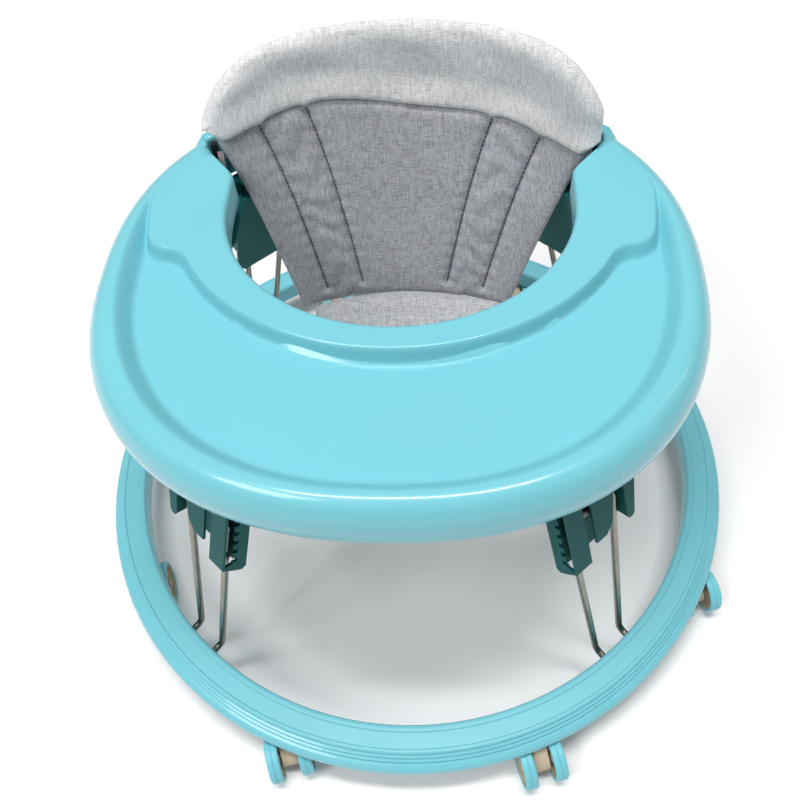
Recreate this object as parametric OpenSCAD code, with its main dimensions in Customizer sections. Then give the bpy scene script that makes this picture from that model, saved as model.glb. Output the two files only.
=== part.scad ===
// Round baby walker: a base ring on eight twin-wheel casters, four steel wire legs that
// pivot in the ring, and a height-adjustable play tray that carries the seat.
// Millimetres, +Z up. The origin is the centre of the base ring on the floor.
// Front is -Y. Legs sit at the same angle in all four quadrants.

/* [Base ring] */
// Outer diameter of the base ring
base_d = 622; // [610:2:630]
// Inner diameter of the base ring
base_inner_d = 550; // [540:5:560]
// Height of the ring's top face above the floor
base_top = 67; // [66:1:69]
// Wall thickness of the ring channel
base_wall = 2.6; // [2:0.2:3.2]

/* [Casters] */
// Number of casters round the ring
caster_count = 8; // [8:1:8]
// Radius of the circle of caster pivots
caster_circle_r = 288; // [286:1:290]
// Distance from the swivel axis back to the axle
caster_trail = 26; // [22:1:28]
// Direction in which the casters trail, from the front towards +X
caster_heading = 17; // [0:1:45]
// Radius of a caster wheel
wheel_r = 21; // [19:1:21]
// Width of a caster wheel
wheel_w = 11; // [9:1:12]
// Distance from the middle of the caster to the middle of a wheel
wheel_offset = 13.5; // [13:0.5:15]
// Radius of the steel axle
axle_r = 2; // [1.5:0.5:2.5]
// Radius of the swivel stem
stem_r = 5; // [4:0.5:6]

/* [Wire legs] */
// Angle of each leg from the front and rear centre line
leg_angle = 42; // [40:1:45]
// Radius of the steel wire
wire_r = 3; // [2.5:0.5:3.5]
// Height of the top crossbar
bar_z = 246; // [244:1:248]
// Distance of the top crossbar from the centre of the ring
bar_reach = 217; // [216:1:218]

/* [Height racks] */
// Lean of the racks from the vertical
rack_lean = 19.3; // [18:0.1:20]
// Distance between two rack notches
notch_pitch = 10.5; // [10:0.5:11]
// Notches below the crossbar
notches_below = 4; // [3:1:4]
// Notches above the crossbar
notches_above = 3; // [2:1:3]

/* [Tray] */
// Half width of the tray
tray_a = 231; // [228:1:236]
// Half depth of the tray
tray_b = 215; // [212:1:220]
// Distance of the tray's middle in front of the ring centre
tray_ahead = 14; // [10:1:16]
// Height of the tray's top face
tray_top = 356; // [350:1:360]
// Height of the rounded part of the tray's rim
rim_r = 26; // [24:1:28]
// Depth of the play recess
recess_depth = 14; // [8:1:16]
// Half width of the seat hole
hole_a = 138; // [135:1:140]
// Depth of the front half of the seat hole
hole_front = 129; // [126:1:132]
// Distance of the hole's widest line behind the centre
hole_y = 52; // [50:1:55]

/* [Backrest] */
// Radius of the backrest curve
back_r = 254; // [252:1:256]
// Distance of the backrest curve's centre in front of the ring centre
back_centre = 84; // [82:1:86]
// Height of the top of the backrest
back_top = 437; // [430:1:440]
// Half angle that the backrest wraps
back_wrap = 39.5; // [38:0.5:40]

/* [Seat] */
// Height of the seat's top face
seat_z = 181; // [175:1:185]
// Thickness of the seat pad
seat_t = 12; // [8:1:14]
// Half width of the seat at the back
seat_half_w = 98; // [94:1:99]

/* [Hidden] */
$fn = 64;
SIDES = [["fr", 1, 1], ["fl", -1, 1], ["rr", 1, -1], ["rl", -1, -1]];

// Colours
teal = [0.45, 0.78, 0.83];
deep_teal = [0.20, 0.50, 0.50];
beige = [0.75, 0.68, 0.58];
steel = [0.70, 0.68, 0.64];
linen = [0.62, 0.62, 0.65];
black = [0.08, 0.08, 0.09];

// Ring section
base_r = base_d / 2;
base_inner_r = base_inner_d / 2;
lip_r = base_r - 12.5;
step_r = 2.4;
step_h = 4;
ring_floor = 43.2;
inner_floor = 45.6;
boss_r = 9.5;
boss_bottom = 45.3;
fit_gap = 0.06;
stem_top = 61;
rib_count = 32;
rib_t = 2;

// Leg wire: pivot bar in the ring, feet, two legs and the top crossbar
pivot_reach = 288;
pivot_z = 49;
heel_reach = 264;
heel_z = 53;
top_in = -25;
top_out = 22;
foot_in = -8.7;
foot_out = 21.7;
wire_sides = 16;
bend_steps = 3;

// Rack and bracket, in a frame at the crossbar: x along the bar, y out, z up the rack
slot_half = 3.7;
face_n = 6;
web_n = -18;
skin = 2.2;
rack_x0 = -31;
rack_x1 = -14;
mid_x0 = -6;
mid_x1 = 17;
plate_x0 = 28;
plate_x1 = 37;
flange_z = 302;
flange_top = 306;
flange_near = 176;
flange_far = 207;
flange_x0 = -44;
flange_x1 = 55;
screw_r = 1.5;
screw_reach = 188;
screw_spots = [-38, 49];
screw_length = 17;
wire_gap_top = -36;
slot_low = -notches_below * notch_pitch - slot_half;
slot_high = notches_above * notch_pitch + slot_half;

// Tray outlines
tray_n = 2.3;
tray_wall = 3;
rim_side = 20;
rim_front = 16;
tray_steps = 90;
top_steps = 14;
rim_steps = 6;
rim_z = tray_top - rim_r;
floor_a = 196;
floor_b = 196;
floor_n = 2.3;
wall_run = 15;
inner_a = 184;
inner_b = 164;
inner_y = 60;
inner_run = 6;
cap_y = 2;
cap_run = 8;
hole_arc = 250;
socket_w = 29;
under_socket_w = 5;
socket_r = 22;
rim_least = 7;
skirt_z = 330;
band_in = 62;
band_out = 13;
band_t = 2.5;
screw_boss_r = 5;
screw_boss_h = 14;

// Wheels
tyre_t = 3;
hub_r = wheel_r - tyre_t - fit_gap;

// Soft parts
cover_half = 8;
board_half = 2;
board_gap = 0.4;
cover_bottom = 360;
board_bottom = 358.4;
panel_bottom = 174;
panel_t = 6;
panel_steps = 16;
panel_rows = 6;

// Points of a circle arc round (0, cy) from angle a0 to a1, where 0 looks along +Y and +90 along +X
function arc_points(cy, r, a0, a1, n) =
  [for (i = [0:n]) let (t = a0 + (a1 - a0) * i / n) [r * sin(t), cy + r * cos(t)]];

function lerp(a, b, k) = a + (b - a) * k;

// Smooth step from 0 to 1
function ramp(v) = let (c = max(0, min(1, v))) c * c * (3 - 2 * c);

// Distance from the hole's middle to its rear edge, at angle v behind the widest line.
// The socket widens it where the backrest's ends go in
function hole_reach(v, socket) =
  let (side = (hole_a + socket * ramp((v - 12) / 13)) / max(cos(v), 0.2))
  let (r = hole_arc + socket_r * (1 - ramp((v - 27) / 6)))
  let (d = hole_y + back_centre)
  min(side, sqrt(r * r - pow(d * cos(v), 2)) - d * sin(v));

// Distance from the hole's middle to its edge at angle t, where 0 looks along -Y
function hole_radius(t, socket) =
  cos(t) >= 0
  ? 1 / norm([sin(t) / hole_a, cos(t) / hole_front])
  : hole_reach(asin(-cos(t)), socket);

// Seat hole outline at angle t, grown by g
function hole_point(t, g, socket = socket_w) =
  let (r = hole_radius(t, socket) + g)
  [r * sin(t), hole_y - r * cos(t)];

// Tray outline seen from the hole's middle at angle t, shrunk by g. It is an ellipse that is
// drawn out a little at its corners
function tray_point(t, g) =
  let (a = tray_a - g)
  let (b = tray_b - g)
  let (d = hole_y + tray_ahead)
  let (k = pow(sin(t) / a, 2) + pow(cos(t) / b, 2))
  let (m = d * cos(t) / (b * b))
  let (r = (m + sqrt(m * m - k * (d * d / (b * b) - 1))) / k)
  let (q = [r * sin(t), d - r * cos(t)])
  let (s = pow(pow(abs(q.x) / a, tray_n) + pow(abs(q.y) / b, tray_n), -1 / tray_n))
  [s * q.x, s * q.y - tray_ahead];

// Width of the rim's curve at angle t: it narrows towards the front and beside the sockets
function rim_w(t) =
  let (land = norm(tray_point(t, 0) - [0, hole_y]) - hole_radius(t, socket_w))
  min(rim_side - (rim_side - rim_front) * pow(max(0, cos(t)), 2), land - rim_least);

// How far the tray's top is pressed down at a point
function recess(p) =
  let (u = pow(abs(p.x) / floor_a, floor_n) + pow(abs(p.y) / floor_b, floor_n))
  let (e = (pow(u, 1 / floor_n) - 1) * floor_a)
  let (i = (norm([p.x / inner_a, (p.y - inner_y) / inner_b]) - 1) * inner_b)
  let (cap = ramp((cap_y + inner_run - p.y) / cap_run))
  let (bowl = min(1 - ramp(e / wall_run), ramp((i + inner_run) / inner_run), cap))
  let (fade = max(0, 1 - max(0, p.y) / 62))
  let (groove = p.y < -10 ? 0 : fade * ramp(1 - abs(e + 1) / (10 * max(fade, 0.2))))
  recess_depth * max(bowl, 0.8 * groove);

// Rotates a leg-local shape (x along the bar, y outwards) into its quadrant
module quadrant(side) {
  mirror([side[1] > 0 ? 0 : 1, 0, 0])
    mirror([0, side[2] > 0 ? 0 : 1, 0])
      rotate([0, 0, 180 + leg_angle])
        mirror([1, 0, 0])
          children();
}

// ---------- Base ring ----------

// Rounded lips, flat top and three steps down to the flange
module ring_outline() {
  polygon(concat(
    [
      [base_inner_r, inner_floor],
      [base_inner_r, base_top - 3],
      [base_inner_r + 1.5, base_top - 0.6],
      [base_inner_r + 3.5, base_top],
      [base_inner_r + 6, base_top],
      [base_inner_r + 7, base_top - 1],
      [lip_r - 3.6, base_top - 1],
      [lip_r - 2.6, base_top],
      [lip_r - 0.8, base_top]
    ],
    [for (k = [0:2]) each [
      [lip_r + k * step_r + 0.4, base_top - 0.8 - k * step_h],
      [lip_r + k * step_r + 0.7, base_top - step_h - k * step_h]
    ]],
    [
      [base_r - 4.6, ring_floor + 11],
      [base_r - 2, ring_floor + 9.4],
      [base_r - 0.4, ring_floor + 6.6],
      [base_r, ring_floor + 4.4],
      [base_r - 0.6, ring_floor + 2.2],
      [base_r - 2.4, ring_floor + 0.5],
      [base_r - 5, ring_floor]
    ]
  ));
}

module ring_channel() {
  polygon([
    [base_inner_r + base_wall, 30],
    [base_inner_r + base_wall, base_top - 1 - base_wall],
    [lip_r - 2, base_top - 1 - base_wall],
    [lip_r + 4.4, ring_floor + 9],
    [base_r - 3.2, ring_floor + 6],
    [base_r - 3.4, ring_floor + 3],
    [base_r - 5.4, 30]
  ]);
}

module ring_bosses() {
  for (i = [0:caster_count - 1])
    rotate([0, 0, (i + 0.5) * 360 / caster_count])
      translate([0, -caster_circle_r, boss_bottom])
        cylinder(r = boss_r, h = base_top - 2 - boss_bottom);
}

module ring_ribs() {
  for (i = [0:rib_count - 1])
    rotate([0, 0, (i + 0.25) * 360 / rib_count])
      translate([-rib_t / 2, -lip_r - 1, 51])
        cube([rib_t, lip_r - base_inner_r, base_top - 2 - 51]);
}

module base_ring() {
  color(teal)
    difference() {
      union() {
        rotate_extrude($fn = 128)
          difference() {
            ring_outline();
            ring_channel();
          }
        ring_bosses();
        ring_ribs();
        for (side = SIDES)
          quadrant(side)
            translate([foot_in - 6, base_inner_r + 4, pivot_z])
              cube([foot_out - foot_in + 12, 17, base_top - 2 - pivot_z]);
      }
      for (i = [0:caster_count - 1])
        rotate([0, 0, (i + 0.5) * 360 / caster_count])
          translate([0, -caster_circle_r, boss_bottom - 1])
            cylinder(r = stem_r + fit_gap, h = 17.7);
      for (side = SIDES)
        quadrant(side) {
          for (x = [foot_in, foot_out])
            translate([x - 4, base_inner_r - 4, 30])
              cube([8, pivot_reach - base_inner_r + 4, 26.5]);
          translate([foot_in - 4, pivot_reach, pivot_z])
            rotate([0, 90, 0])
              cylinder(r = wire_r + 0.3, h = foot_out - foot_in + 8);
          for (x = [foot_in + 9, foot_out - 9])
            translate([x, pivot_reach - 7.5, pivot_z - 1])
              cylinder(r = screw_r, h = 9);
        }
    }
}

module leg_clamps() {
  color(deep_teal)
    for (side = SIDES)
      quadrant(side)
        difference() {
          translate([foot_in + 4.6, base_inner_r + 4, pivot_z - 5])
            cube([foot_out - foot_in - 9.2, 17, 4.8]);
          translate([foot_in, pivot_reach, pivot_z])
            rotate([0, 90, 0])
              cylinder(r = wire_r + 0.3, h = foot_out - foot_in);
          for (x = [foot_in + 9, foot_out - 9])
            translate([x, pivot_reach - 7.5, pivot_z - 6])
              cylinder(r = screw_r + 0.2, h = 7);
        }
}

module clamp_screws() {
  color(steel)
    for (side = SIDES)
      quadrant(side)
        for (x = [foot_in + 9, foot_out - 9])
          translate([x, pivot_reach - 7.5, pivot_z - 7])
            union() {
              cylinder(r = 2.8, h = 2);
              cylinder(r = screw_r, h = 14);
            }
}

// ---------- Wire legs ----------

// Corner p between a and c, rounded with radius-like distance d
function corner(a, p, c, d) =
  let (u = (a - p) / norm(a - p))
  let (v = (c - p) / norm(c - p))
  [for (i = [0:bend_steps]) let (k = i / bend_steps)
    p + u * d * (1 - k) * (1 - k) + v * d * k * k];

top_a = [top_in, bar_reach, bar_z];
top_b = [top_out, bar_reach, bar_z];
heel_a = [foot_in, heel_reach, heel_z];
heel_b = [foot_out, heel_reach, heel_z];
toe_a = [foot_in, pivot_reach, pivot_z];
toe_b = [foot_out, pivot_reach, pivot_z];
loop_corners = [top_a, top_b, heel_b, toe_b, toe_a, heel_a];
wire_path = [for (i = [0:5]) each
  corner(loop_corners[(i + 5) % 6], loop_corners[i], loop_corners[(i + 1) % 6], i < 2 ? 9 : 6)];

// Closed sweep of a round section along a closed path
module wire_sweep(path) {
  n = len(path);
  tangent = [for (i = [0:n - 1])
    let (d = path[(i + 1) % n] - path[(i + n - 1) % n]) d / norm(d)];
  reference = [0.35, 0.84, 0.41] / norm([0.35, 0.84, 0.41]);
  rings = [for (i = [0:n - 1])
    let (s = cross(tangent[i], cross(reference, tangent[i])))
    let (x = s / norm(s))
    let (y = cross(tangent[i], x))
    for (j = [0:wire_sides - 1])
      let (t = 360 * j / wire_sides)
      path[i] + wire_r * (cos(t) * x + sin(t) * y)];
  faces = [for (i = [0:n - 1]) for (j = [0:wire_sides - 1])
    let (p = (i + 1) % n)
    let (q = (j + 1) % wire_sides)
    [i * wire_sides + j, i * wire_sides + q, p * wire_sides + q, p * wire_sides + j]];
  polyhedron(rings, faces, convexity = 10);
}

module leg_loop(side) {
  color(steel)
    quadrant(side)
      wire_sweep(wire_path);
}

// ---------- Brackets with height racks ----------

module rack_frame() {
  translate([0, bar_reach, bar_z])
    rotate([rack_lean, 0, 0])
      children();
}

// A slab between two depths with its outline given along the bar and up the rack
module rack_slab(points, n0, n1) {
  translate([0, n1, 0])
    rotate([90, 0, 0])
      linear_extrude(n1 - n0)
        polygon(points);
}

// Rack housing outline, seen along the bar: x outwards, y up the rack
module housing_side(inset) {
  polygon([
    [web_n + inset, -59 - inset],
    [web_n + 4 + inset, -61 - inset],
    [web_n + 11, -57 - inset],
    [face_n - inset, -48 - inset],
    [face_n - inset, 62],
    [web_n + inset, 68]
  ]);
}

module along_bar(x0, x1) {
  translate([x0, 0, 0])
    rotate([90, 0, 90])
      linear_extrude(x1 - x0)
        children();
}

module notches() {
  translate([-slot_half, slot_low])
    square([2 * slot_half, slot_high - slot_low]);
  for (k = [-notches_below:notches_above])
    translate([slot_half - 1, k * notch_pitch])
      polygon([[-10.5, -3.2], [-10.5, 1.2], [-4, 3.4], [-4, -1]]);
}

module bracket(side) {
  color(deep_teal)
    quadrant(side)
      difference() {
        union() {
          rack_frame() {
            difference() {
              along_bar(rack_x0, rack_x1)
                housing_side(0);
              along_bar(rack_x0 + skin, rack_x1 - skin)
                polygon([
                  [web_n + skin, -70], [face_n - 2, -70], [face_n - 2, 46], [web_n + skin, 46]
                ]);
              along_bar(rack_x0 + skin, rack_x1 + 1)
                polygon([[-11, -70], [face_n - 2, -70], [face_n - 2, wire_gap_top], [-11, wire_gap_top]]);
              along_bar(rack_x0 - 1, rack_x1 + 1)
                notches();
            }
            difference() {
              rack_slab([
                [mid_x0, -33], [5, -33], [13, -24], [15, -10], [mid_x1, 0], [mid_x1, 64], [mid_x0, 64]
              ], -14, face_n);
              along_bar(mid_x0 - 1, mid_x1 + 1)
                polygon([[-11.5, -50], [slot_half, -50], [slot_half, slot_high], [-11.5, slot_high]]);
            }
            rack_slab([
              [plate_x0, -33], [plate_x0 + 2, -36], [plate_x0 + 6, -36], [plate_x0 + 8, -33],
              [plate_x1 + 4, 10], [plate_x1 + 5, 64], [plate_x0, 64]
            ], -12, face_n);
            rack_slab([
              [rack_x1 - 1, -58], [plate_x1 - 5, -58], [plate_x1 + 3, -46],
              [plate_x1 + 5, 68], [rack_x1 - 1, 68]
            ], web_n, web_n + 3);
            for (x = [mid_x0, plate_x0])
              translate([x, web_n + 1, 38])
                cube([3, 8, 22]);
          }
          translate([flange_x0, flange_near, flange_z])
            cube([flange_x1 - flange_x0, flange_far - flange_near, flange_top - flange_z]);
        }
        translate([-60, 120, flange_top])
          cube([120, 120, 40]);
        for (x = screw_spots)
          translate([x, screw_reach, flange_z - 1])
            cylinder(r = screw_r + 0.2, h = 10);
      }
}

module bracket_screws() {
  color(steel)
    for (side = SIDES)
      quadrant(side)
        for (x = screw_spots)
          translate([x, screw_reach, flange_z - 2])
            union() {
              cylinder(r = 3.2, h = 2);
              cylinder(r = screw_r, h = screw_length);
            }
}

// ---------- Tray ----------

// One closed section of the shell at angle t: hole skirt, top, rim, and back underneath
function tray_section(t) =
  let (h0 = hole_point(t, 4.5))
  let (c0 = tray_point(t, rim_w(t)))
  let (top = [for (i = [0:top_steps]) let (q = h0 + (c0 - h0) * i / top_steps) [q.x, q.y, recess(q)]])
  let (s0 = hole_point(t, 0))
  let (s1 = hole_point(t, 1.4))
  let (s2 = hole_point(t, 2.6))
  let (s3 = hole_point(t, 4))
  concat(
    [[s0.x, s0.y, skirt_z], [s0.x, s0.y, tray_top - 4.5], [s1.x, s1.y, tray_top - 1.4 - recess(s1)]],
    [for (q = top) [q.x, q.y, tray_top - q.z]],
    [for (i = [1:rim_steps])
      let (w = 90 * i / rim_steps)
      let (q = tray_point(t, rim_w(t) * (1 - sin(w))))
      [q.x, q.y, rim_z + rim_r * cos(w)]],
    [for (i = [1:2]) let (q = tray_point(t, 1.6 * i * i)) [q.x, q.y, rim_z - 11.5 * i]],
    [for (i = [2:-1:1]) let (q = tray_point(t, tray_wall + 1.6 * i * i)) [q.x, q.y, rim_z - 11.5 * i]],
    [for (i = [rim_steps:-1:1])
      let (w = 90 * i / rim_steps)
      let (q = tray_point(t, rim_w(t) - (rim_w(t) - tray_wall) * sin(w)))
      [q.x, q.y, rim_z + (rim_r - tray_wall) * cos(w)]],
    [for (i = [top_steps:-1:1]) let (q = top[i]) [q.x, q.y, tray_top - tray_wall - q.z]],
    [[s3.x, s3.y, tray_top - 6 - recess(s3)], [s2.x, s2.y, skirt_z]]
  );

module tray_shell() {
  sections = [for (i = [0:tray_steps - 1]) tray_section(360 * i / tray_steps)];
  m = len(sections[0]);
  faces = [for (i = [0:tray_steps - 1]) for (j = [0:m - 1])
    let (p = (i + 1) % tray_steps)
    let (q = (j + 1) % m)
    each [[i * m + j, i * m + q, p * m + q], [i * m + j, p * m + q, p * m + j]]];
  color(teal)
    polyhedron([for (s = sections) each s], faces, convexity = 10);
}

module tray_under() {
  color(deep_teal)
    difference() {
      union() {
        translate([0, 0, flange_top])
          linear_extrude(band_t)
            difference() {
              polygon([for (i = [0:71]) tray_point(5 * i, band_out)]);
              polygon([for (i = [0:71]) tray_point(5 * i, band_out + band_in)]);
              polygon([for (i = [0:71]) hole_point(5 * i, 3, under_socket_w)]);
            }
        for (side = SIDES)
          quadrant(side)
            for (x = screw_spots)
              translate([x, screw_reach, flange_top])
                cylinder(r = screw_boss_r, h = screw_boss_h);
      }
      for (side = SIDES)
        quadrant(side)
          for (x = screw_spots)
            translate([x, screw_reach, flange_top - 1])
              cylinder(r = screw_r, h = screw_boss_h - 2);
    }
}

// ---------- Backrest ----------

// Right half of the arched outline: distance from the middle, drop from the top
arch_half = [
  [148, 240], [148, 78], [161, 63], [162, 58], [158, 44], [150, 31],
  [138, 18], [124, 10], [107, 5], [70, 1], [0, 0]
];

// Upright curved band of half thickness h that follows the backrest curve
module back_band(h, z0, z1, wrap) {
  translate([0, 0, z0])
    linear_extrude(z1 - z0)
      polygon(concat(
        arc_points(-back_centre, back_r + h, -wrap, wrap, 36),
        arc_points(-back_centre, back_r - h, wrap, -wrap, 36)
      ));
}

// Everything below the arched top edge, lowered by drop
module under_arch(drop) {
  translate([0, 260, -drop])
    rotate([90, 0, 0])
      linear_extrude(300)
        polygon(concat(
          [for (p = arch_half) [p.x, back_top - p.y]],
          [for (i = [len(arch_half) - 1:-1:0]) [-arch_half[i].x, back_top - arch_half[i].y]]
        ));
}

module backrest_board() {
  color(black)
    intersection() {
      back_band(board_half, board_bottom, back_top, back_wrap - 3);
      under_arch(6.5);
    }
}

module back_cover() {
  color(linen)
    difference() {
      intersection() {
        back_band(cover_half, cover_bottom, back_top + 1, back_wrap);
        under_arch(0);
      }
      intersection() {
        back_band(board_half + board_gap, cover_bottom - 1, back_top, back_wrap - 2.5);
        under_arch(6);
      }
    }
}

// Levels of the back panel: height, half width, side depth, middle depth
panel_levels = [for (k = [0:panel_rows]) let (v = k / panel_rows) [
  lerp(panel_bottom, cover_bottom - 2, v), 101.5 + 43 * v + 8.5 * pow(v, 4),
  lerp(101, 111, v), lerp(120.5, 155, v)
]];

function panel_row(level, back) =
  [for (i = [0:panel_steps]) let (k = 2 * i / panel_steps - 1)
    [k * level[1], level[3] - (level[3] - level[2]) * k * k + back, level[0]]];

module back_panel() {
  rows = len(panel_levels);
  w = panel_steps + 1;
  front = [for (level = panel_levels) each panel_row(level, 0)];
  rear = [for (level = panel_levels) each panel_row(level, panel_t)];
  o = rows * w;
  color(linen)
    polyhedron(concat(front, rear), concat(
      [for (r = [0:rows - 2]) for (i = [0:w - 2])
        let (a = r * w + i)
        each [[a, a + w, a + w + 1], [a, a + w + 1, a + 1]]],
      [for (r = [0:rows - 2]) for (i = [0:w - 2])
        let (a = o + r * w + i)
        each [[a, a + w + 1, a + w], [a, a + 1, a + w + 1]]],
      [for (i = [0:w - 2]) each [[i, i + 1, o + i + 1], [i, o + i + 1, o + i]]],
      [for (i = [0:w - 2])
        let (b = (rows - 1) * w + i)
        each [[b, o + b + 1, b + 1], [b, o + b, o + b + 1]]],
      [for (r = [0:rows - 2]) let (b = r * w) each [[b, o + b, o + b + w], [b, o + b + w, b + w]]],
      [for (r = [0:rows - 2]) let (b = r * w + w - 1) each [[b, b + w, o + b + w], [b, o + b + w, o + b]]]
    ), convexity = 6);
}

// ---------- Seat ----------

module seat_pad() {
  color(linen)
    translate([0, 0, seat_z - seat_t])
      linear_extrude(seat_t)
        polygon(concat(
          [for (i = [0:12]) let (k = i / 6 - 1) [k * seat_half_w, 119.5 - 20 * k * k]],
          [[96, 70], [78, 30], [55, 2], [42, -13], [-42, -13], [-55, 2], [-78, 30], [-96, 70]]
        ));
}

module crotch_panel() {
  color(linen)
    translate([-38, 0, 0])
      rotate([90, 0, 90])
        linear_extrude(76)
          polygon([
            [-13.4, seat_z - seat_t], [-20, seat_z - seat_t + 2], [-72, 296], [-73.5, 324],
            [-67, 324], [-66, 298], [-17, seat_z], [-13.4, seat_z]
          ]);
}

module seat_clips() {
  color(black)
    for (x = [-26, 14])
      translate([x, -76.6, 306])
        union() {
          cube([12, 2.6, 22]);
          translate([0, -8, -3.2])
            cube([12, 10.6, 3]);
        }
}

module corner_clips() {
  color(black)
    for (s = [-1, 1])
      translate([s * 159.5 - 2.5, 119.5, 338])
        cube([5, 5, 19.5]);
}

module strap_ends() {
  color([0.62, 0.55, 0.56])
    for (s = [-1, 1])
      translate([s * 154.7 - 2.5, 110.5, 334])
        rotate([-20, 0, 0])
          cube([5, 2, 19]);
}

// ---------- Casters ----------

// Puts a caster-local shape (x along the axle, y in the trailing direction) at pivot i
module caster_place(i) {
  turn = (i - 0.5) * 360 / caster_count;
  translate([caster_circle_r * sin(turn), -caster_circle_r * cos(turn), 0])
    rotate([0, 0, 180 + caster_heading])
      children();
}

module caster_housing(i) {
  color(beige)
    caster_place(i)
      difference() {
        union() {
          translate([-6.5, 0, 0])
            rotate([90, 0, 90])
              linear_extrude(13)
                union() {
                  polygon([[-9, 43], [-9, 37], [8, 19], [30, 12], [34, 21], [30, 30], [14, 42], [10, 43]]);
                  translate([caster_trail, wheel_r])
                    circle(r = 9.5);
                }
          translate([0, 0, 37])
            cylinder(r = 10, h = 8);
          translate([0, 0, 40])
            cylinder(r = stem_r, h = stem_top - 40);
        }
        translate([-10, caster_trail, wheel_r])
          rotate([0, 90, 0])
            cylinder(r = axle_r + 0.05, h = 20);
      }
}

module on_axle() {
  translate([0, caster_trail, wheel_r])
    rotate([0, 90, 0])
      children();
}

module caster_axle(i) {
  color(steel)
    caster_place(i)
      on_axle()
        translate([0, 0, -wheel_offset - 3])
          cylinder(r = axle_r, h = 2 * wheel_offset + 6);
}

module caster_hubs(i) {
  color(beige)
    caster_place(i)
      on_axle()
        for (s = [-1, 1])
          translate([0, 0, s * wheel_offset])
            rotate_extrude()
              polygon([
                [axle_r, -4.5], [5, -4.5], [5.5, -1.5], [wheel_r - 5, -1.5], [wheel_r - 4.5, -4.8],
                [hub_r, -4.8], [hub_r, 4.8], [wheel_r - 4.5, 4.8], [wheel_r - 5, 1.5],
                [5.5, 1.5], [5, 4.5], [axle_r, 4.5]
              ]);
}

module caster_tyres(i) {
  color(teal)
    caster_place(i)
      on_axle()
        for (s = [-1, 1])
          translate([0, 0, s * wheel_offset])
            rotate_extrude()
              polygon([
                [wheel_r - tyre_t, -wheel_w / 2], [wheel_r - 1.2, -wheel_w / 2],
                [wheel_r - 0.3, -wheel_w / 2 + 0.8], [wheel_r, -wheel_w / 2 + 2],
                [wheel_r, -0.5], [wheel_r - 0.5, 0], [wheel_r, 0.5],
                [wheel_r, wheel_w / 2 - 2], [wheel_r - 0.3, wheel_w / 2 - 0.8],
                [wheel_r - 1.2, wheel_w / 2], [wheel_r - tyre_t, wheel_w / 2]
              ]);
}

base_ring();
leg_clamps();
clamp_screws();
for (side = SIDES) {
  leg_loop(side);
  bracket(side);
}
bracket_screws();
tray_shell();
tray_under();
backrest_board();
back_cover();
back_panel();
seat_pad();
crotch_panel();
seat_clips();
corner_clips();
strap_ends();
for (i = [1:caster_count]) {
  caster_housing(i);
  caster_axle(i);
  caster_hubs(i);
  caster_tyres(i);
}
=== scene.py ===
"""Baby walker on a pale studio floor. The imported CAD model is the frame; this script adds
the tray's moulded surface, the padded seat and every material."""
import math
import bmesh
import bpy
import numpy as np
from mathutils import Matrix, Vector


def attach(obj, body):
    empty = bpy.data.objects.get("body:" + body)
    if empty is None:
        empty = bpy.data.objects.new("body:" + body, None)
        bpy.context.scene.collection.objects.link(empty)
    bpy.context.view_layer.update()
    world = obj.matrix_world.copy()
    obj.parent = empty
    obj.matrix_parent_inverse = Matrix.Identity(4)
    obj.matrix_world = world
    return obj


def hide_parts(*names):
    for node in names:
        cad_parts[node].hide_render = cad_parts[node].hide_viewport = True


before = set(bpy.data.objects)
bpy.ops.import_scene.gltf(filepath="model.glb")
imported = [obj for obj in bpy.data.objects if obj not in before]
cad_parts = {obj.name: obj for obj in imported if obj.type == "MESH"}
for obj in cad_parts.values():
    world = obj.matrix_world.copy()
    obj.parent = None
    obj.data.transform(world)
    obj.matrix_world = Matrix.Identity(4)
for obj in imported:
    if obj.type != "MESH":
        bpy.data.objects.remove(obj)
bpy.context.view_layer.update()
TAU = 2 * math.pi


# ---------------------------------------------------------------- camera, floor and light

def add_camera():
    eye = Vector((0.0446, -0.4629, 0.8121))
    target = Vector((0, 0, 0.150))
    roll = math.radians(-4.5)
    ahead = (target - eye).normalized()
    right = ahead.cross(Vector((0, 0, 1))).normalized()
    up = right.cross(ahead)
    side = right * math.cos(roll) + up * math.sin(roll)
    top = up * math.cos(roll) - right * math.sin(roll)
    data = bpy.data.cameras.new("camera")
    data.sensor_width = 36
    data.lens = 37.8
    data.shift_x = -0.0056
    data.shift_y = -0.0031
    data.clip_start = 0.01
    cam = bpy.data.objects.new("camera", data)
    cam.matrix_world = Matrix((
        (side.x, top.x, -ahead.x, eye.x),
        (side.y, top.y, -ahead.y, eye.y),
        (side.z, top.z, -ahead.z, eye.z),
        (0, 0, 0, 1)))
    bpy.context.collection.objects.link(cam)
    bpy.context.scene.camera = cam


def add_floor():
    """Plain pale floor, a little below the wheels."""
    bm = bmesh.new()
    bmesh.ops.create_grid(bm, x_segments=1, y_segments=1, size=6)
    mesh = bpy.data.meshes.new("floor")
    bm.to_mesh(mesh)
    bm.free()
    floor = bpy.data.objects.new("floor", mesh)
    floor.location.z = -0.0005
    bpy.context.collection.objects.link(floor)
    mat = bpy.data.materials.new("studio_floor")
    mat.use_nodes = True
    shader = mat.node_tree.nodes["Principled BSDF"]
    shader.inputs["Base Color"].default_value = (0.88, 0.88, 0.88, 1)
    shader.inputs["Roughness"].default_value = 0.9
    shader.inputs["Specular IOR Level"].default_value = 0.1
    mesh.materials.append(mat)


def add_area(name, place, size, power, aim=(0, 0, 0.2)):
    data = bpy.data.lights.new(name, "AREA")
    data.shape = "RECTANGLE"
    data.size, data.size_y = size
    data.energy = power
    light = bpy.data.objects.new(name, data)
    light.location = place
    light.rotation_euler = (Vector(aim) - Vector(place)).to_track_quat("-Z", "Y").to_euler()
    bpy.context.collection.objects.link(light)


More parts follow.
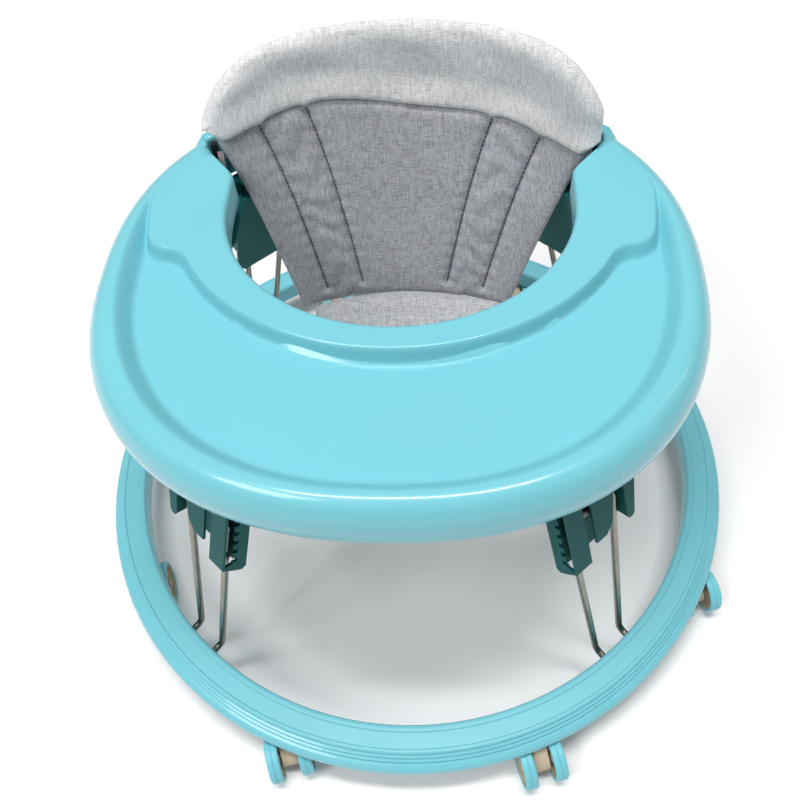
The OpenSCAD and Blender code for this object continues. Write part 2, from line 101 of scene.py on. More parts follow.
def add_light():
    """White surroundings, a soft light overhead, one at the front left and one at the side."""
    world = bpy.data.worlds.new("studio")
    bpy.context.scene.world = world
    world.use_nodes = True
    world.node_tree.nodes["Background"].inputs[0].default_value = (1, 1, 1, 1)
    world.node_tree.nodes["Background"].inputs[1].default_value = 0.34
    add_area("overhead", (0.0, -0.10, 4.2), (2.4, 0.5), 130)
    add_area("front", (-1.7, -1.6, 3.3), (1.3, 1.2), 58)
    add_area("side_tube", (1.6, 0.4, 1.6), (0.03, 1.0), 1.5, (0, 0, 0.35))


# ---------------------------------------------------------------- material helpers

class Graph:
    """A small wrapper that makes a Principled material and wires nodes into it."""

    def __init__(self, name):
        self.mat = bpy.data.materials.new(name)
        self.mat.use_nodes = True
        self.tree = self.mat.node_tree
        self.shader = self.tree.nodes["Principled BSDF"]
        coord = self.tree.nodes.new("ShaderNodeTexCoord")
        self.place = coord.outputs["Object"]

    def set(self, **values):
        for key, value in values.items():
            self.shader.inputs[key.replace("_", " ")].default_value = value
        return self

    def node(self, kind, **values):
        made = self.tree.nodes.new(kind)
        for key, value in values.items():
            setattr(made, key, value)
        return made

    def link(self, a, b):
        self.tree.links.new(a, b)

    def noise(self, scale, detail=3, stretch=None, rough=0.5):
        made = self.node("ShaderNodeTexNoise")
        made.inputs["Scale"].default_value = scale
        made.inputs["Detail"].default_value = detail
        made.inputs["Roughness"].default_value = rough
        source = self.place
        if stretch:
            source = self.mapped(stretch)
        self.link(source, made.inputs["Vector"])
        return made.outputs["Fac"]

    def mapped(self, stretch):
        mapping = self.node("ShaderNodeMapping")
        mapping.inputs["Scale"].default_value = stretch
        self.link(self.place, mapping.inputs["Vector"])
        return mapping.outputs["Vector"]

    def ramp(self, factor, stops):
        made = self.node("ShaderNodeValToRGB")
        ramp = made.color_ramp
        while len(ramp.elements) < len(stops):
            ramp.elements.new(0.5)
        for element, (at, colour) in zip(ramp.elements, stops):
            element.position = at
            element.color = (*colour, 1)
        self.link(factor, made.inputs["Fac"])
        return made.outputs["Color"]

    def math(self, kind, a, b):
        made = self.node("ShaderNodeMath", operation=kind)
        for socket, value in zip(made.inputs, (a, b)):
            if isinstance(value, (int, float)):
                socket.default_value = value
            else:
                self.link(value, socket)
        return made.outputs[0]

    def mix(self, factor, a, b, kind="MIX"):
        made = self.node("ShaderNodeMix", data_type="RGBA", blend_type=kind)
        sockets = (made.inputs["Factor"], made.inputs[6], made.inputs[7])
        for socket, value in zip(sockets, (factor, a, b)):
            if isinstance(value, tuple):
                socket.default_value = (*value, 1)
            elif isinstance(value, (int, float)):
                socket.default_value = value
            else:
                self.link(value, socket)
        return made.outputs[2]

    def bump(self, height, strength, distance=0.001):
        made = self.node("ShaderNodeBump")
        made.inputs["Strength"].default_value = strength
        made.inputs["Distance"].default_value = distance
        self.link(height, made.inputs["Height"])
        self.link(made.outputs["Normal"], self.shader.inputs["Normal"])

    def colour(self, source):
        self.link(source, self.shader.inputs["Base Color"])

    def rough(self, low, high, factor):
        span = self.node("ShaderNodeMapRange")
        span.inputs["To Min"].default_value = low
        span.inputs["To Max"].default_value = high
        self.link(factor, span.inputs["Value"])
        self.link(span.outputs["Result"], self.shader.inputs["Roughness"])


def scaled(colour, k):
    return tuple(min(1, c * k) for c in colour)


def moulded(name, colour, gloss, coat=0.0, grain=0.05, wear=0.06, level=0.35, wavy=0.0):
    """Injection-moulded plastic: faint cloudiness, fine grain and slightly scuffed edges."""
    g = Graph(name)
    cloud = g.noise(7, 3)
    base = g.ramp(cloud, [(0.3, scaled(colour, 0.975)), (0.7, scaled(colour, 1.02))])
    geometry = g.node("ShaderNodeNewGeometry")
    edge = g.ramp(geometry.outputs["Pointiness"], [(0.52, (0, 0, 0)), (0.64, (wear, wear, wear))])
    g.colour(g.mix(edge, base, scaled(colour, 1.3)))
    g.rough(gloss, gloss + 0.05, g.noise(14, 2))
    g.set(Coat_Weight=coat, Coat_Roughness=0.04, Specular_IOR_Level=level)
    swell = g.math("MULTIPLY", g.noise(26, 2), wavy)
    g.bump(g.math("ADD", g.noise(900, 2), swell), grain, 0.0003)
    return g.mat


def metal(name, colour, rough, streak=(400, 400, 30)):
    """Drawn or turned steel with fine streaks along its length."""
    g = Graph(name)
    lines = g.noise(1, 4, streak)
    g.colour(g.ramp(lines, [(0.3, scaled(colour, 0.82)), (0.7, scaled(colour, 1.1))]))
    g.rough(rough, rough + 0.14, lines)
    g.set(Metallic=1.0)
    g.bump(lines, 0.08, 0.0003)
    return g.mat


def weave(g, pitch):
    """Height of a plain weave: warp and weft threads crossing at the given pitch."""
    k = TAU / pitch
    wave_x = g.node("ShaderNodeTexWave", wave_type="BANDS", bands_direction="X")
    wave_z = g.node("ShaderNodeTexWave", wave_type="BANDS", bands_direction="Z")
    wave_y = g.node("ShaderNodeTexWave", wave_type="BANDS", bands_direction="Y")
    for wave in (wave_x, wave_y, wave_z):
        wave.inputs["Scale"].default_value = k / 20
        wave.inputs["Distortion"].default_value = 1.2
        wave.inputs["Detail"].default_value = 2
        wave.inputs["Detail Scale"].default_value = 3
        g.link(g.place, wave.inputs["Vector"])
    across = g.math("MULTIPLY", wave_y.outputs["Fac"], wave_z.outputs["Fac"])
    return g.math("MULTIPLY", wave_x.outputs["Fac"], g.math("ADD", across, 0.4))


def melange(name, colour, contrast=0.17):
    """Grey melange cloth: slubby warp and weft in two greys over a plain weave."""
    g = Graph(name)
    warp = g.noise(1, 3, (980, 110, 110), 0.6)
    weft = g.noise(1, 3, (120, 1050, 1050), 0.6)
    half = g.math("MULTIPLY", g.math("ADD", warp, weft), 0.5)
    dark = scaled(colour, 1 - 2.2 * contrast)
    light = scaled(colour, 1 + 1.8 * contrast)
    tone = g.ramp(half, [(0.38, dark), (0.50, colour), (0.62, light)])
    patch = g.ramp(g.noise(12, 2), [(0.3, (0.97, 0.97, 0.97)), (0.7, (1.02, 1.02, 1.02))])
    g.colour(g.mix(1.0, tone, patch, "MULTIPLY"))
    g.set(Sheen_Weight=0.25, Sheen_Roughness=0.5, Specular_IOR_Level=0.2)
    g.rough(0.80, 0.95, half)
    g.bump(g.math("ADD", g.math("MULTIPLY", weave(g, 0.0012), 0.6), half), 0.55, 0.0006)
    return g.mat


# ---------------------------------------------------------------- mesh helpers

def new_object(name, verts, faces, material):
    """Smooth-shaded mesh object made from points and faces."""
    mesh = bpy.data.meshes.new(name)
    mesh.from_pydata([tuple(v) for v in verts], [], faces)
    mesh.validate()
    made = bpy.data.objects.new(name, mesh)
    bpy.context.collection.objects.link(made)
    mesh.materials.append(material)
    mesh.polygons.foreach_set("use_smooth", [True] * len(mesh.polygons))
    return made


def grid_faces(rows, columns, wrap_rows=False, wrap_columns=False, start=0):
    """Quads of a rows by columns grid of points that are stored row by row."""
    faces = []
    for r in range(rows if wrap_rows else rows - 1):
        for c in range(columns if wrap_columns else columns - 1):
            r1 = (r + 1) % rows
            c1 = (c + 1) % columns
            faces.append((start + r * columns + c, start + r * columns + c1,
                          start + r1 * columns + c1, start + r1 * columns + c))
    return faces


def smooth_step(v):
    v = np.clip(v, 0, 1)
    return v * v * (3 - 2 * v)


# ---------------------------------------------------------------- tray

TRAY_A, TRAY_B, TRAY_AHEAD, TRAY_N, TRAY_TOP = 0.231, 0.215, 0.014, 2.3, 0.356
RIM_R, RIM_SIDE, RIM_FRONT, RIM_LEAST = 0.026, 0.020, 0.016, 0.007
HOLE_A, HOLE_FRONT, HOLE_Y, HOLE_ARC = 0.138, 0.129, 0.052, 0.250
SOCKET_W, SOCKET_R, BACK_CENTRE = 0.029, 0.022, 0.084
RECESS, FLOOR_A, WALL_RUN, LOBE_Y, CHANNEL_Y = 0.014, 0.196, 0.015, -0.002, 0.062
INNER_A, INNER_B, INNER_Y = 0.184, 0.164, 0.060
HOLE_EDGE, TRAY_WALL, SKIRT_Z = 0.0045, 0.003, 0.330


def tray_outline(t, inset=0.0):
    """Outer edge seen from the hole's middle: an ellipse drawn out a little at its corners."""
    sin, cos = np.sin(t), np.cos(t)
    a, b, d = TRAY_A - inset, TRAY_B - inset, HOLE_Y + TRAY_AHEAD
    k = (sin / a) ** 2 + (cos / b) ** 2
    m = d * cos / b ** 2
    r = (m + np.sqrt(m ** 2 - k * (d ** 2 / b ** 2 - 1))) / k
    x, y = r * sin, d - r * cos
    s = (np.abs(x / a) ** TRAY_N + np.abs(y / b) ** TRAY_N) ** (-1 / TRAY_N)
    return np.stack([s * x, s * y - TRAY_AHEAD], -1)


def hole_radius(t):
    """Front half an ellipse; behind it a socket for the backrest's ends and an arc."""
    sin, cos = np.sin(t), np.cos(t)
    v = np.degrees(np.arcsin(np.clip(-cos, 0, 1)))
    side = HOLE_A + SOCKET_W * smooth_step((v - 12) / 13)
    side = side / np.maximum(np.cos(np.radians(v)), 0.2)
    r = HOLE_ARC + SOCKET_R * (1 - smooth_step((v - 27) / 6))
    d = HOLE_Y + BACK_CENTRE
    behind = np.sqrt(r ** 2 - (d * np.cos(np.radians(v))) ** 2) - d * np.sin(np.radians(v))
    ahead = 1 / np.hypot(sin / HOLE_A, cos / HOLE_FRONT)
    return np.where(cos >= 0, ahead, np.minimum(side, behind))


def hole_outline(t, grow=0.0):
    r = hole_radius(t) + grow
    return np.stack([r * np.sin(t), HOLE_Y - r * np.cos(t)], -1)


def rim_width(t):
    """The rim's curve narrows towards the front and beside the sockets."""
    edge = tray_outline(t)
    land = np.hypot(edge[..., 0], edge[..., 1] - HOLE_Y) - hole_radius(t)
    wide = RIM_SIDE - (RIM_SIDE - RIM_FRONT) * np.clip(np.cos(t), 0, 1) ** 2
    return np.minimum(wide, land - RIM_LEAST)


def smooth_max(a, b, k):
    h = np.clip(0.5 + 0.5 * (a - b) / k, 0, 1)
    return b + (a - b) * h + k * h * (1 - h)


def recess_depth(p):
    """How far the tray's top is pressed down: the play recess, its outer wall carried on
    behind it as a channel that narrows to nothing between the rim and the land."""
    x, y = np.abs(p[..., 0]), p[..., 1]
    outer = ((x / FLOOR_A) ** TRAY_N + (np.abs(y) / FLOOR_A) ** TRAY_N) ** (1 / TRAY_N)
    beyond = (outer - 1) * FLOOR_A
    inner = (np.hypot(x / INNER_A, (y - INNER_Y) / INNER_B) - 1) * INNER_B
    run = np.clip((y - LOBE_Y) / (CHANNEL_Y - LOBE_Y), 0, 1)
    behind = smooth_max(-inner - 0.003, y - LOBE_Y, 0.012)
    beside = beyond + 0.003 - (WALL_RUN + 0.003) * run
    land = -smooth_max(-behind, beside, 0.018)
    wall = 1 - smooth_step(beyond / WALL_RUN)
    step = 1 - smooth_step((land + 0.003) / (0.006 + 0.004 * run))
    return RECESS * np.clip(-smooth_max(-wall, -step, 0.24), 0, None)


def tray_section(t):
    """Closed section of the shell at angles t: skirt, top, rim, underside and back."""
    rows = []

    def add(points, height):
        height = np.broadcast_to(height, points.shape[:-1])
        rows.append(np.concatenate([points, height[..., None]], -1))

    edge = HOLE_EDGE
    for z in (SKIRT_Z, 0.336, 0.343, TRAY_TOP - edge):
        add(hole_outline(t), z)
    for k in range(1, 6):
        w = math.radians(18 * k)
        p = hole_outline(t, edge * (1 - math.cos(w)))
        add(p, TRAY_TOP - edge * (1 - math.sin(w)) - recess_depth(p))
    start, stop = hole_outline(t, edge), tray_outline(t, 0)
    crest = tray_outline(t, rim_width(t))
    steps = 120
    for k in range(1, steps + 1):
        p = start + (crest - start) * k / steps
        add(p, TRAY_TOP - recess_depth(p))
    for k in range(1, 17):
        w = math.radians(90 * k / 16)
        p = crest + (stop - crest) * math.sin(w)
        add(p, TRAY_TOP - RIM_R + RIM_R * math.cos(w))
    for inset, drop in ((0.0006, 0.006), (0.002, 0.012), (0.0045, 0.018), (0.0066, 0.0232),
                        (0.0075, 0.0238), (0.0085, 0.0232)):
        add(tray_outline(t, inset), TRAY_TOP - RIM_R - drop)
    add(tray_outline(t, 0.006), TRAY_TOP - RIM_R - 0.010)
    for k in (6, 4, 2, 0):
        w = math.radians(15 * k)
        p = crest + (tray_outline(t, TRAY_WALL) - crest) * math.sin(w)
        add(p, TRAY_TOP - RIM_R + (RIM_R - TRAY_WALL) * math.cos(w))
    for k in range(20, 0, -1):
        p = start + (crest - start) * k / 20
        add(p, TRAY_TOP - TRAY_WALL - recess_depth(p))
    add(hole_outline(t, TRAY_WALL), TRAY_TOP - 0.008)
    add(hole_outline(t, 0.0026), SKIRT_Z)
    return np.stack(rows, 1)


def build_tray(material):
    """The tray's moulded shell, one closed surface round the seat hole."""
    count = 640
    t = np.linspace(0, TAU, count, endpoint=False)
    grid = tray_section(t)
    rows, columns = grid.shape[:2]
    faces = grid_faces(rows, columns, wrap_rows=True, wrap_columns=True)
    tray = new_object("tray_moulding", grid.reshape(-1, 3), faces, material)
    flip_outwards(tray)
    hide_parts("tray_shell")
    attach(tray, "upper")


def flip_outwards(obj):
    bm = bmesh.new()
    bm.from_mesh(obj.data)
    bmesh.ops.recalc_face_normals(bm, faces=bm.faces)
    bm.to_mesh(obj.data)
    bm.free()


# ---------------------------------------------------------------- wire legs

SIDES = {"fr": (1, 1), "fl": (-1, 1), "rr": (1, -1), "rl": (-1, -1)}
LEG_ANGLE = math.radians(42)
WIRE_R, BAR_IN, BAR_OUT, BAR_REACH, BAR_Z = 0.003, -0.025, 0.022, 0.217, 0.246
FOOT_IN, FOOT_OUT, HEEL_REACH, HEEL_Z, PIVOT_REACH, PIVOT_Z = -0.0087, 0.0217, 0.264, 0.053, 0.288, 0.049


def leg_point(side, x, out, z):
    """A point given along the crossbar, outwards and up, in the leg's quadrant."""
    sx, sy = SIDES[side]
    along = x * math.cos(LEG_ANGLE) + out * math.sin(LEG_ANGLE)
    depth = out * math.cos(LEG_ANGLE) - x * math.sin(LEG_ANGLE)
    return Vector((sx * along, -sy * depth, z))


def rounded_corner(before, at, after, reach, steps):
    """Points of a smooth bend that starts and ends at the given distance from the corner."""
    u = (before - at).normalized() * reach
    v = (after - at).normalized() * reach
    return [at + u * (1 - k) ** 2 + v * k ** 2 for k in np.linspace(0, 1, steps)]


def swept_ring(path, radius, sides):
    """Vertices and faces of a round bar that follows a closed path."""
    count = len(path)
    tangents = [(path[(i + 1) % count] - path[i - 1]).normalized() for i in range(count)]
    guide = Vector((0.35, 0.84, 0.41)).normalized()
    verts = []
    for point, tangent in zip(path, tangents):
        x = tangent.cross(guide.cross(tangent)).normalized()
        y = tangent.cross(x)
        for j in range(sides):
            a = TAU * j / sides
            verts.append(point + (x * math.cos(a) + y * math.sin(a)) * radius)
    return verts, grid_faces(count, sides, wrap_rows=True, wrap_columns=True)


def build_leg(side, material):
    """Closed wire loop: top bar in the rack, two legs, feet and the pivot bar in the ring."""
    corners = [leg_point(side, *p) for p in (
        (BAR_IN, BAR_REACH, BAR_Z), (BAR_OUT, BAR_REACH, BAR_Z), (FOOT_OUT, HEEL_REACH, HEEL_Z),
        (FOOT_OUT, PIVOT_REACH, PIVOT_Z), (FOOT_IN, PIVOT_REACH, PIVOT_Z),
        (FOOT_IN, HEEL_REACH, HEEL_Z))]
    path = []
    for i, corner in enumerate(corners):
        reach = 0.009 if i < 2 else 0.006
        path += rounded_corner(corners[i - 1], corner, corners[(i + 1) % 6], reach, 9)
    verts, faces = swept_ring(path, WIRE_R, 24)
    leg = new_object("leg_wire_" + side, verts, faces, material)
    flip_outwards(leg)
    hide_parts("leg_loop_" + side)
    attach(leg, "leg_" + side)


# ---------------------------------------------------------------- seat

BACK_R, BACK_TOP, BACK_WRAP = 0.254, 0.437, 39.5
SEAM_Z, SEAT_Z, PANEL_Z = 0.366, 0.181, 0.172
ARCH = ((0, 0), (0.070, 0.001), (0.107, 0.005), (0.124, 0.010), (0.138, 0.018),
        (0.150, 0.031), (0.158, 0.044), (0.162, 0.058))
COVER_HALF, PANEL_HALF, SEAT_DROP = 0.0085, 0.0052, 0.006
PANEL_FOOT, PANEL_SPREAD, PANEL_FLARE = 0.1015, 0.043, 0.0085
SIDE_FOOT, SIDE_TOP, MIDDLE_FOOT, MIDDLE_TOP = 0.101, 0.111, 0.1205, 0.157
PANEL_LINES = ((-0.795, -0.735), (-0.540, -0.400), (0.500, 0.388), (0.765, 0.728))


def arch_height(x):
    """Height of the backrest's top edge at a distance from its middle."""
    at = np.array([p[0] for p in ARCH])
    drop = np.array([p[1] for p in ARCH])
    return BACK_TOP - np.interp(np.abs(x), at, drop)


def crown(edge_distance, width):
    """Rounded-over thickness factor: 0 at the edge, 1 past the given width."""
    k = np.clip(edge_distance / width, 0, 1)
    return np.sqrt(1 - (1 - k) ** 2.2)


def pillow(name, centre, normal, half, material):
    """Closed pad from a grid of middle points, their normals and half thicknesses."""
    rows, columns = half.shape
    front = centre - normal * half[..., None]
    back = centre + normal * half[..., None]
    verts = np.concatenate([front.reshape(-1, 3), back.reshape(-1, 3)])
    size = rows * columns
    faces = grid_faces(rows, columns)
    faces += [tuple(reversed(f)) for f in grid_faces(rows, columns, start=size)]
    rim = [r * columns for r in range(rows)]
    rim += [(rows - 1) * columns + c for c in range(1, columns)]
    rim += [r * columns + columns - 1 for r in range(rows - 2, -1, -1)]
    rim += list(range(columns - 2, 0, -1))
    for a, b in zip(rim, rim[1:] + rim[:1]):
        faces.append((a, b, b + size, a + size))
    pad = new_object(name, verts, faces, material)
    flip_outwards(pad)
    return pad


def seam_height(x):
    """Seam between cover and panel: flat in the middle, lower at the ends and to the right,
    pulled in where the four sewn channel lines meet it."""
    q = (x / 0.159) ** 2
    height = SEAM_Z + 0.042 * q - 0.123 * q ** 2 + 0.073 * q ** 3 - 0.010 * np.tanh(x / 0.07)
    for at, _ in PANEL_LINES:
        height = height - 0.0022 * np.exp(-((x - at * panel_width(1)) / 0.005) ** 2)
    return height


def back_cover_point(x, z):
    angle = np.arcsin(np.clip(x / BACK_R, -1, 1))
    pulled = 0.006 * (1 - smooth_step((z - seam_height(x)) / 0.030))
    return np.stack([x, BACK_R * np.cos(angle) - BACK_CENTRE - pulled, z], -1)


def build_back_cover(material):
    """Crowned cover over the backrest's top, from the seam up to the arched edge."""
    columns, rows = 121, 33
    reach = BACK_R * math.sin(math.radians(BACK_WRAP))
    x = np.linspace(-reach, reach, columns)
    top = arch_height(x) - 0.001
    corner = np.clip((np.abs(x) - 0.150) / (reach - 0.150), 0, 1)
    bottom = seam_height(x) + 0.014 * corner
    v = np.linspace(0, 1, rows)[:, None]
    z = bottom[None] + (top - bottom)[None] * v
    xx = np.broadcast_to(x, z.shape)
    centre = back_cover_point(xx, z)
    normal = np.stack([xx / BACK_R, np.cos(np.arcsin(xx / BACK_R)), 0 * xx], -1)
    to_side = reach - np.abs(xx)
    to_top = top[None] - z
    to_bottom = z - bottom[None]
    half = COVER_HALF * np.minimum(crown(to_side, 0.012), crown(to_top, 0.018))
    half = np.minimum(half, COVER_HALF * crown(to_bottom + 0.001, 0.007))
    folds = 0.0007 * np.sin(xx * 70 + 2 * np.sin(z * 60)) * crown(to_bottom, 0.03)
    half = np.maximum(half + folds * (half > 0.006), 0.0003)
    cover = pillow("backrest_pad", centre, normal, half, material)
    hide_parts("back_cover", "backrest_board")
    return cover


def panel_width(v):
    """Half width of the back panel, flaring towards the seam."""
    return PANEL_FOOT + PANEL_SPREAD * v + PANEL_FLARE * v ** 4


def panel_point(u, v):
    """Front face of the back panel: u from -1 to 1 across, v from the seat up to the seam."""
    side = SIDE_FOOT + (SIDE_TOP - SIDE_FOOT) * v
    middle = MIDDLE_FOOT + (MIDDLE_TOP - MIDDLE_FOOT) * v
    y = middle - (middle - side) * u ** 2
    top = seam_height(panel_width(1) * u) + 0.003
    z = PANEL_Z + (top - PANEL_Z) * v
    return np.stack([panel_width(v) * u - 0.006 * (1 - v), y, z], -1)


def build_back_panel(material, thread):
    """Front panel with four sewn channel lines, puffed and puckered between them."""
    columns, rows = 241, 97
    u = np.linspace(-1, 1, columns)[None, :]
    v = np.linspace(0, 1, rows)[:, None]
    u, v = np.broadcast_arrays(u, v)
    front = panel_point(u, v)
    du = np.gradient(front, axis=1)
    dv = np.gradient(front, axis=0)
    normal = np.cross(dv, du)
    normal /= np.linalg.norm(normal, axis=-1)[..., None]
    normal *= np.sign(normal[..., 1:2])
    width = panel_width(v)
    edges = np.minimum(crown((1 - np.abs(u)) * width, 0.010), crown(v * 0.18 + 0.002, 0.01))
    edges = np.minimum(edges, 0.3 + 0.7 * crown((1 - v) * 0.186 - 0.003, 0.009))
    half = PANEL_HALF * edges
    for top, low in PANEL_LINES:
        line = low + (top - low) * v
        gap = np.abs(u - line) * width
        inside = smooth_step((v - 0.05) / 0.03) * smooth_step((0.985 - v) / 0.02)
        half = half - 0.0042 * np.exp(-np.abs(gap / 0.0036) ** 1.2) * inside
        half = half - 0.0007 * np.exp(-(gap / 0.012) ** 2) * inside * np.sin(v * 46 + 2 * u) ** 4
    for first, second in ((0, 1), (2, 3)):
        a, b = (PANEL_LINES[i][1] + (PANEL_LINES[i][0] - PANEL_LINES[i][1]) * v for i in (first, second))
        channel = np.clip((u - a) * (b - u) * 4 / (b - a) ** 2, 0, 1)
        half = half + 0.0008 * channel * np.sin(v * 44 + 2 * np.sin(u * 17 + v * 9)) * (half > 0.002)
    ripple = np.sin(u * 9 + v * 5) * np.sin(v * 13 + u * 3)
    half = np.maximum(half + 0.0005 * ripple * (half > 0.002), 0.0002)
    centre = front + normal * 0.0044
    panel = pillow("back_panel_pad", centre, normal, half, material)
    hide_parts("back_panel")
    k = np.linspace(0.05, 0.985, 60)
    for top, low in PANEL_LINES:
        path = panel_point(low + (top - low) * k, k) + np.array([0, 0.0026, 0])
        sewn_line("panel_stitch", path, thread, 0.0036, 0.0007, 0.0008)
    return panel


def sewn_line(name, path, material, length=0.0032, gap=0.0012, width=0.0005):
    """Separate thread stitches laid along a path of points."""
    path = [Vector(p) for p in path]
    verts, faces = [], []
    run = 0.0
    spots = [0.0]
    for a, b in zip(path, path[1:]):
        spots.append(spots[-1] + (b - a).length)

    def at(s):
        i = min(int(np.searchsorted(spots, s, side="right")) - 1, len(path) - 2)
        k = (s - spots[i]) / max(spots[i + 1] - spots[i], 1e-9)
        return path[i].lerp(path[i + 1], min(k, 1))

    while run + length < spots[-1]:
        a, b = at(run), at(run + length)
        along = (b - a).normalized()
        side = along.cross(Vector((0, -1, 0.2))).normalized() * width
        lift = side.cross(along).normalized() * width
        base = len(verts)
        for point, k in ((a, 0.4), (a.lerp(b, 0.5), 1.0), (b, 0.4)):
            for j in range(6):
                w = TAU * j / 6
                verts.append(point + side * math.cos(w) * k + lift * math.sin(w) * k)
        faces += grid_faces(3, 6, wrap_columns=True, start=base)
        faces += [tuple(range(base + 5, base - 1, -1)), tuple(range(base + 12, base + 18))]
        run += length + gap
    made = new_object(name, verts, faces, material)
    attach(made, "upper")


def seat_outline(count):
    """Outline of the seat pad, with rounded front corners, as points round it."""
    half, back, front = 0.098, 0.1205, -0.013
    points = []
    for k in np.linspace(-1, 1, 25):
        points.append((k * half, back - 0.0195 * k * k))
    right = [(0.098, 0.085), (0.095, 0.066), (0.087, 0.042), (0.076, 0.025), (0.063, 0.009),
             (0.052, -0.003), (0.042, -0.010), (0.032, front)]
    points += right
    points += [(-x, y) for x, y in reversed(right)]
    path = [Vector((x, y, 0)) for x, y in points]
    lengths = np.cumsum([0] + [(b - a).length for a, b in zip(path, path[1:] + path[:1])])
    even = np.linspace(0, lengths[-1], count, endpoint=False)
    xs = np.interp(even, lengths, [p.x for p in path] + [path[0].x])
    ys = np.interp(even, lengths, [p.y for p in path] + [path[0].y])
    return np.stack([xs, ys], -1)


def build_seat_pad(material):
    """Round-edged pad made of rings that shrink towards the middle, above and below."""
    count, rings = 96, 16
    outline = seat_outline(count)
    middle = np.array([0.0, 0.062])
    verts, faces = [], []
    shrink = [1 - (k / rings) ** 1.15 for k in range(rings)]
    for sign in (1, -1):
        for k, s in enumerate(shrink):
            ring = middle + (outline - middle) * s
            edge = (1 - s) * 0.085
            lift = 0.0055 * math.sqrt(max(0, 1 - (1 - min(edge / 0.012, 1)) ** 2.2))
            dome = 0.0015 * (1 - s ** 2)
            z = SEAT_Z - SEAT_DROP + sign * (lift + dome)
            verts += [(p[0], p[1], z) for p in ring]
        verts.append((middle[0], middle[1], SEAT_Z - SEAT_DROP + sign * 0.007))
    half = count * rings + 1
    for start in (0, half):
        faces += grid_faces(rings, count, wrap_columns=True, start=start)
        last = start + (rings - 1) * count
        faces += [(last + j, last + (j + 1) % count, start + count * rings) for j in range(count)]
    for j in range(count):
        faces.append((j, (j + 1) % count, half + (j + 1) % count, half + j))
    pad = new_object("seat_cushion", verts, faces, material)
    bm = bmesh.new()
    bm.from_mesh(pad.data)
    bmesh.ops.remove_doubles(bm, verts=bm.verts, dist=0.00005)
    bmesh.ops.recalc_face_normals(bm, faces=bm.faces)
    bm.to_mesh(pad.data)
    bm.free()
    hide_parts("seat_pad")
    return pad


def build_crotch_panel(material):
    """Padded strip from the front of the seat up to the tray's front edge."""
    profile = [(-0.0105, 0.1745), (-0.0185, 0.1760), (-0.0245, 0.186), (-0.044, 0.234),
               (-0.0620, 0.276), (-0.0690, 0.297), (-0.0702, 0.323)]
    path = [Vector((0, y, z)) for y, z in profile]
    lengths = np.cumsum([0] + [(b - a).length for a, b in zip(path, path[1:])])
    even = np.linspace(0, lengths[-1], 60)
    ys = np.interp(even, lengths, [p.y for p in path])
    zs = np.interp(even, lengths, [p.z for p in path])
    columns = 33
    k = np.linspace(-1, 1, columns)[None, :]
    half_width = 0.036 - 0.004 * np.sin(np.linspace(0, math.pi, 60))[:, None]
    x = k * half_width
    y = np.broadcast_to(ys[:, None], x.shape) + 0.002 * (1 - k ** 2)
    z = np.broadcast_to(zs[:, None], x.shape)
    centre = np.stack([x, y, z], -1)
    du = np.gradient(centre, axis=1)
    dv = np.gradient(centre, axis=0)
    normal = np.cross(dv, du)
    normal /= np.linalg.norm(normal, axis=-1)[..., None]
    ends = np.minimum(crown(even[:, None] + 0.001, 0.004), crown(even[-1] - even[:, None] + 0.001, 0.004))
    half = 0.0032 * np.minimum(crown((1 - np.abs(k)) * half_width + 0.0004, 0.006), ends)
    strip = pillow("crotch_strip", centre, normal, np.maximum(half, 0.0002), material)
    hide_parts("crotch_panel")
    return strip


def inflate(pad, voxel, pressure, cap):
    """Swells a pad with a short cloth simulation and keeps each point within cap of its start."""
    scene = bpy.context.scene
    bpy.context.view_layer.objects.active = pad
    remesh = pad.modifiers.new("even", "REMESH")
    remesh.mode = "VOXEL"
    remesh.voxel_size = voxel
    bpy.ops.object.modifier_apply(modifier="even")
    start = np.array([v.co for v in pad.data.vertices])
    cloth = pad.modifiers.new("cloth", "CLOTH")
    settings = cloth.settings
    settings.use_pressure = True
    settings.uniform_pressure_force = pressure
    settings.tension_stiffness = settings.compression_stiffness = 8
    settings.bending_stiffness = 0.5
    settings.effector_weights.gravity = 0
    cloth.point_cache.frame_start = 1
    cloth.point_cache.frame_end = 20
    for number in range(1, 21):
        scene.frame_set(number)
    dg = bpy.context.evaluated_depsgraph_get()
    moved = np.array([v.co for v in pad.evaluated_get(dg).data.vertices])
    pad.modifiers.remove(cloth)
    step = moved - start
    length = np.linalg.norm(step, axis=1)[:, None]
    step *= np.minimum(1, cap / np.maximum(length, 1e-9))
    for vert, place in zip(pad.data.vertices, start + step):
        vert.co = place
    scene.frame_set(1)
    smooth = pad.modifiers.new("smooth", "SUBSURF")
    smooth.levels = smooth.render_levels = 1
    bpy.ops.object.modifier_apply(modifier="smooth")
    pad.data.polygons.foreach_set("use_smooth", [True] * len(pad.data.polygons))


def build_seat(fabric, pad_fabric, band_fabric, thread):
    cover = build_back_cover(band_fabric)
    panel = build_back_panel(fabric, thread)
    pad = build_seat_pad(pad_fabric)
    strip = build_crotch_panel(pad_fabric)
    inflate(pad, 0.004, 3, 0.0025)
    for piece, fill in ((cover, 0.6), (panel, 0.5), (pad, 0.6), (strip, 0.4)):
        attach(piece, "upper")


# ---------------------------------------------------------------- materials and assembly

def paint(names, material):
    for name in names:
        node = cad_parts[name]
        node.data.materials.clear()
        node.data.materials.append(material)


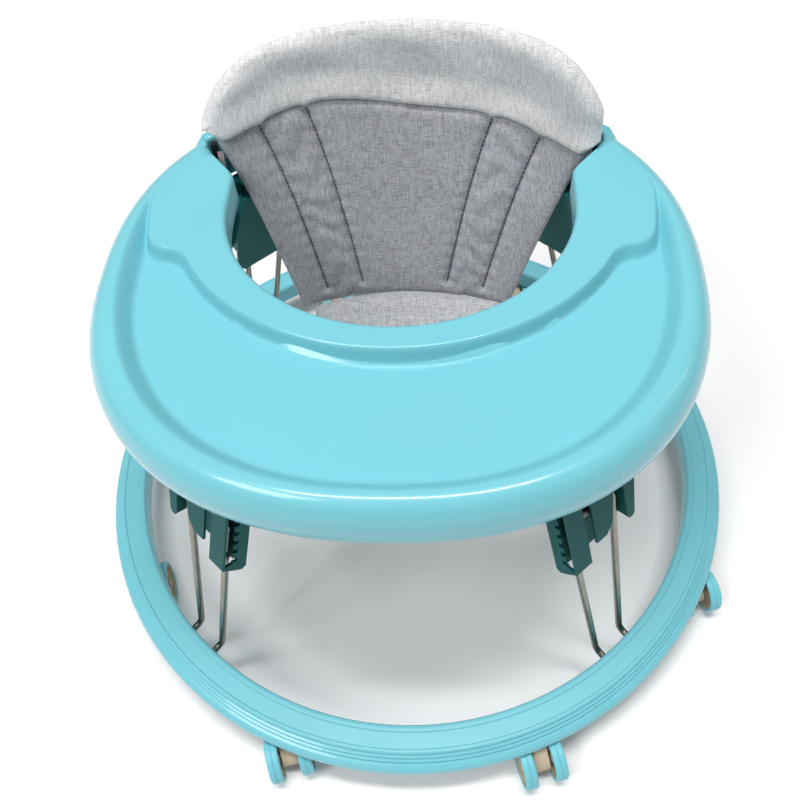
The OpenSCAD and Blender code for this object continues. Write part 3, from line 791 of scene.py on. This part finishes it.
def paint_cad(mats):
    """Gives every CAD node that stays visible its material."""
    each = range(1, 9)
    paint(["base_ring"], mats["ring"])
    # painted shade: brackets, leg clamps and the tray's underside get a teal darkened far below the
    # tray's own, standing in for the shadow under the tray
    paint(["leg_clamps", "tray_under"] + ["bracket_" + s for s in SIDES], mats["bracket"])
    paint(["clamp_screws", "bracket_screws"], mats["screw"])
    paint(["seat_clips", "corner_clips"], mats["black"])
    paint(["strap_ends"], mats["webbing"])
    paint([f"caster_housing_{i}" for i in each], mats["beige"])
    paint([f"caster_hubs_{i}" for i in each], mats["beige"])
    paint([f"caster_axle_{i}" for i in each], mats["screw"])
    paint([f"caster_tyres_{i}" for i in each], mats["tyre"])


def make_materials():
    teal = (0.162, 0.490, 0.565)
    # painted shade: teal darkened far below the tray's own, for the shadow that falls on the parts under
    # the tray
    shade_darkened_teal = (0.006, 0.100, 0.100)
    return {
        "tray": moulded("tray_gloss", teal, 0.24, coat=0.35, grain=0.05, wear=0.02, wavy=14),
        "ring": moulded("ring_gloss", teal, 0.28, coat=0.2, grain=0.04),
        "bracket": moulded("bracket_painted_shade", shade_darkened_teal, 0.55, grain=0.08, level=0.2),
        "tyre": moulded("tyre_satin", (0.16, 0.50, 0.58), 0.42, grain=0.12, wear=0.15),
        "beige": moulded("beige_satin", (0.50, 0.42, 0.31), 0.5, grain=0.10, wear=0.15),
        "black": moulded("black_satin", (0.012, 0.012, 0.014), 0.4, grain=0.10),
        "wire": metal("wire_chrome", (0.26, 0.24, 0.21), 0.16),
        "screw": metal("screw_steel", (0.25, 0.24, 0.23), 0.32, (300, 300, 300)),
        "webbing": melange("webbing_weave", (0.52, 0.44, 0.46), 0.10),
        "fabric": melange("seat_melange", (0.360, 0.365, 0.395)),
        "pad": melange("pad_melange", (0.395, 0.400, 0.420)),
        "band": melange("band_melange", (0.620, 0.615, 0.625), 0.12),
        "thread": melange("thread", (0.05, 0.05, 0.10), 0.05),
    }


bpy.context.scene.view_settings.view_transform = "Standard"
add_camera()
add_floor()
add_light()
mats = make_materials()
paint_cad(mats)
build_tray(mats["tray"])
for leg_side in SIDES:
    build_leg(leg_side, mats["wire"])
build_seat(mats["fabric"], mats["pad"], mats["band"], mats["thread"])
